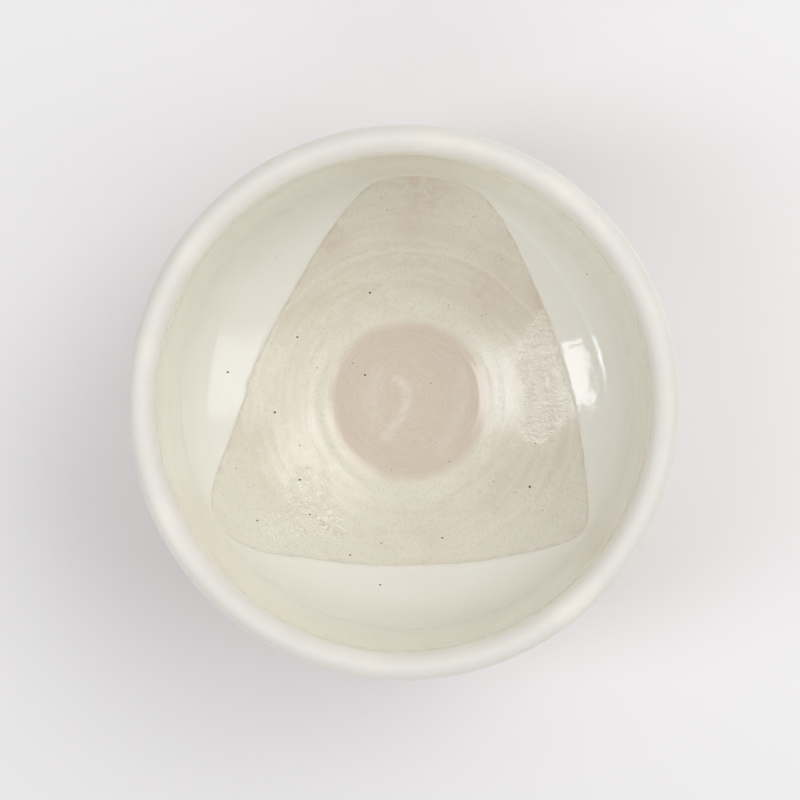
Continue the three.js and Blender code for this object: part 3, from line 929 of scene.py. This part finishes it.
def seenRays(tree):  # 1 for rays that look at something, 0 for rays that carry light to it
    rays = put(tree, "ShaderNodeLightPath").outputs
    reflected = calc(tree, "MAXIMUM", rays["Is Glossy Ray"], rays["Is Transmission Ray"])
    return calc(tree, "MAXIMUM", rays["Is Camera Ray"], reflected)


def makeTable():
    side, level = table["halfSide"], table["level"]
    corners = [(-side, -side, level), (side, -side, level), (side, side, level), (-side, side, level)]
    top = meshPiece("table", corners, [(0, 1, 2, 3)])
    material, tree, surface, place = finish("paleTable", table["roughness"])
    shaded = tuple(part * table["shade"] for part in table["colour"])
    colour = blendColour(tree, noiseOf(tree, place, *table["clouds"]), table["colour"], shaded)
    tree.links.new(colour, surface.inputs["Base Color"])
    far = times(tree, ramp(tree, lengthOf(tree, place), *table["fade"]), seenRays(tree))  # no hard horizon
    haze = put(tree, "ShaderNodeEmission", {"Color": sky["colour"], "Strength": sky["seen"]}).outputs[0]
    mixed = put(tree, "ShaderNodeMixShader", {0: far, 1: surface.outputs[0], 2: haze}).outputs[0]
    tree.links.new(mixed, tree.nodes["Material Output"].inputs["Surface"])
    top.data.materials.append(material)


lamps = {  # heading and zenith as seen from the cup, distance, size in metres, brightness of the face
    "overheadSoft": (45, 8, 1.6, (1.42, 1.42), 0.15),
    "rightPanel": (15, 52, 1.2, (1.42, 1.42), 0.82),
    "backPanel": (105, 52, 1.2, (1.42, 1.42), 0.735),
    "frontPanel": (270, 52, 1.2, (1.42, 1.42), 1.04),
    "leftPanel": (215, 74, 1.2, (1.5, 0.6), 0.48),
    "keySoft": (45, 44, 0.9, (0.62, 0.62), 1.13),
    "sheenSoft": (36, 27, 1.0, (0.38, 0.42), 2.46),
    "rightStrip": (-8.5, 40, 1.1, (0.44, 1.05), 1.1),
    "leftStrip": (188.5, 36, 1.1, (0.32, 0.88), 3.87)}
roomTint, dayTint = (1, 1, 1), (0.985, 0.98, 1.05)
mirrored = dict(sheenSoft=roomTint, rightStrip=dayTint, leftStrip=dayTint)  # the glaze mirrors these lights
lampAim = Vector((0, 0, 20 * mm))


def makeLamp(name, heading, zenith, away, size, face):
    heading, zenith = radians(heading), radians(zenith)
    out = sin(zenith)
    way = Vector((cos(heading) * out, sin(heading) * out, cos(zenith)))
    light = bpy.data.lights.new(name, "AREA")
    light.shape = "RECTANGLE"
    light.color = mirrored.get(name, roomTint)
    light.size, light.size_y = size
    light.energy = face * pi * light.size * light.size_y
    holder = addObject(name, light)
    holder.visible_camera = False
    holder.visible_glossy = name in mirrored  # the broad panels only fill
    holder.location = way * away + lampAim
    holder.rotation_euler = way.to_track_quat("Z", "Y").to_euler()


def makeSky():
    world = bpy.data.worlds.new("softRoom")
    world.use_nodes = True
    tree = world.node_tree
    strength = calc(tree, "MULTIPLY_ADD", seenRays(tree), sky["seen"] - sky["light"], sky["light"])
    shade = tree.nodes["Background"]
    shade.inputs["Color"].default_value = sky["colour"]
    tree.links.new(strength, shade.inputs["Strength"])
    bpy.context.scene.world = world


view = dict(spot=Vector((9 * mm, 3.5 * mm, 530 * mm)), aim=Vector((-0.5 * mm, 0.6 * mm, 70 * mm)),
            frameWidth=159.2 * mm, sensorWidth=36, nearest=10 * mm)


def makeCamera():
    lens = bpy.data.cameras.new("camera")
    holder = addObject("camera", lens)
    holder.location = view["spot"]
    way = view["aim"] - view["spot"]
    back = -way.normalized()
    right = Vector((0, 1, 0)).cross(back).normalized()
    holder.rotation_euler = Matrix((right, back.cross(right), back)).transposed().to_euler()
    lens.sensor_width = view["sensorWidth"]
    lens.lens = lens.sensor_width * way.length / view["frameWidth"]
    lens.clip_start = view["nearest"]
    bpy.context.scene.camera = holder


makeTable()
for name, lamp in lamps.items():
    makeLamp(name, *lamp)
makeSky()
makeCamera()
bpy.context.scene.view_settings.view_transform = "Standard"
print("table, light and camera set")

bpy.context.view_layer.update()
